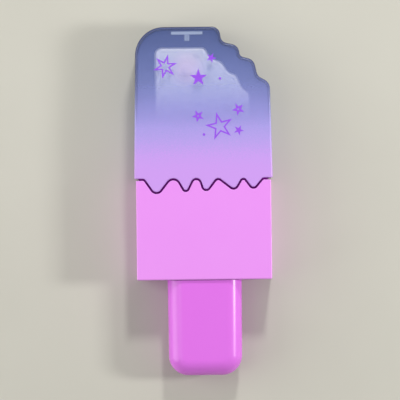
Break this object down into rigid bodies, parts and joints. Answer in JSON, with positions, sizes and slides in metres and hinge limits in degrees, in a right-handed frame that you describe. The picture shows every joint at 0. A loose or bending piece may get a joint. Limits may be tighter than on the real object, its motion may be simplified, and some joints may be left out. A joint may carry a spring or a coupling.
{
  "type": "powder highlighter with brush",
  "caption": "Ice-lolly-shaped powder highlighter: a clear colour-faded cap with a bitten corner pulls off a tongue holding a powder pan, and the stick pulls out as a flat brush.",
  "frame": {"origin": "centre of the footprint, on the surface that the back lies on", "axes": "+Z out of the front face; +Y from the stick to the bitten tip; +X to the right seen from the front"},
  "size_m": [0.047, 0.119, 0.0143],
  "materials": {
    "body_pink": "satin moulded",
    "handle_pink": "polished moulded",
    "tray_indigo": "satin moulded",
    "sprayed_clear": "clear, with a colour fade sprayed on",
    "grip_clear": "soft, translucent",
    "powder": "pressed, pearlescent",
    "pan_metal": "bright stamped",
    "adhesive": "tacky",
    "sleeve_white": "natural moulded",
    "pad_rubber": "matt",
    "ferrule_metal": "anodised, bright",
    "glue_amber": "set resin",
    "bristle_fibre": "fine synthetic fibre"
  },
  "bodies": {
    "body": {"body_front": "body_pink", "body_back": "body_pink", "tray_front": "tray_indigo", "tray_back": "tray_indigo", "powder_pan": "pan_metal", "pressed_powder": "powder", "pan_adhesive": "adhesive", "cap_grip": "grip_clear", "brush_sleeve": "sleeve_white", "friction_pads": "pad_rubber"},
    "cap": {"cap_shell": "sprayed_clear"},
    "brush": {"brush_handle": "handle_pink", "handle_plug": "handle_pink", "ferrule": "ferrule_metal", "bristle_glue": "glue_amber", "bristles": "bristle_fibre"}
  },
  "joints": [
    {"name": "cap_pull", "type": "slide", "parent": "body", "child": "cap", "axis": [0, 1, 0], "range_m": [0, 0.06]},
    {"name": "brush_pull", "type": "slide", "parent": "body", "child": "brush", "axis": [0, -1, 0], "range_m": [0, 0.042]}
  ]
}
